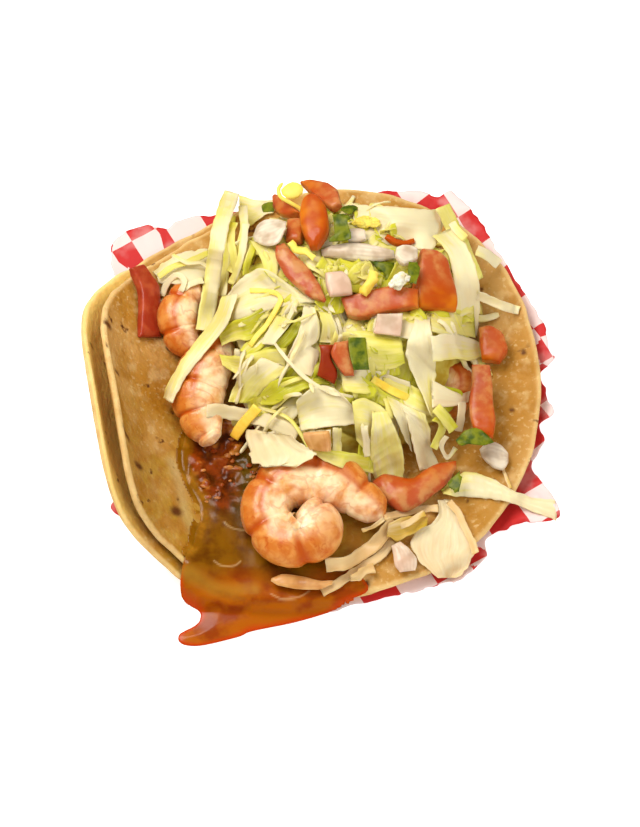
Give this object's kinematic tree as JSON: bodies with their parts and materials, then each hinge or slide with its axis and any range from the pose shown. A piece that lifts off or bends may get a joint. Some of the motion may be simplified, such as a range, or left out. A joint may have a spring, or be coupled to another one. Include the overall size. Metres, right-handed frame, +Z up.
{
  "type": "shrimp taco",
  "caption": "Open taco: stacked corn tortillas with one side curled up, filled with shrimp, salsa, shredded lettuce, tomato, onion and cheese, on checked paper.",
  "frame": {"origin": "middle of the footprint, on the surface that the paper lies on", "axes": "+Z up, +Y towards the far side, near enough along the fold of the tortillas, +X towards the open flat side"},
  "size_m": [0.1576, 0.1622, 0.0491],
  "materials": {
    "paper": "waxed food paper in a red and white check",
    "tortilla": "matt griddled corn tortilla",
    "salsa": "wet tomato salsa and juices",
    "shrimp": "moist cooked shrimp",
    "lettuce": "crisp shredded iceberg lettuce",
    "tomato": "wet cut tomato",
    "onion": "moist translucent onion",
    "cilantro": "fresh herb leaf",
    "cheese": "grated yellow cheese",
    "crumble": "crumbled fresh white cheese"
  },
  "bodies": {
    "root": {"paper": "paper", "tortilla_lower": "tortilla", "tortilla_upper": "tortilla", "salsa": "salsa", "lettuce_heap": "lettuce", "shrimp_front": "shrimp", "shrimp_middle": "shrimp", "shrimp_back": "shrimp", "shrimp_right": "shrimp", "tomato_right": "tomato", "tomato_rim": "tomato", "onion_right": "onion", "tomato_wall": "tomato", "tomato_front": "tomato", "onion_crescent": "onion", "onion_near": "onion", "onion_gap": "onion", "cilantro_right": "cilantro", "cilantro_front": "cilantro", "tomato_gap": "tomato", "tomato_pale": "tomato", "cilantro_big": "cilantro", "tomato_far": "tomato", "tomato_crest": "tomato", "tomato_under": "tomato", "onion_left": "onion", "tomato_long": "tomato", "tomato_wedge": "tomato", "tomato_side": "tomato", "tomato_skin": "tomato", "tomato_block": "tomato", "onion_cube": "onion", "onion_sliver": "onion", "onion_far": "onion", "onion_pale": "onion", "onion_low": "onion", "cilantro_crest": "cilantro", "cilantro_left": "cilantro", "cilantro_far": "cilantro", "cilantro_top": "cilantro", "cilantro_side": "cilantro", "cheese_curl": "cheese", "cheese_left": "cheese", "cheese_far": "cheese", "cheese_top": "cheese", "cheese_block": "cheese", "cheese_low": "cheese", "cheese_front": "cheese", "crumble_top": "crumble", "lettuce_cream": "lettuce", "lettuce_front_leaf": "lettuce", "lettuce_right_strip": "lettuce", "lettuce_rib": "lettuce"}
  },
  "joints": []
}
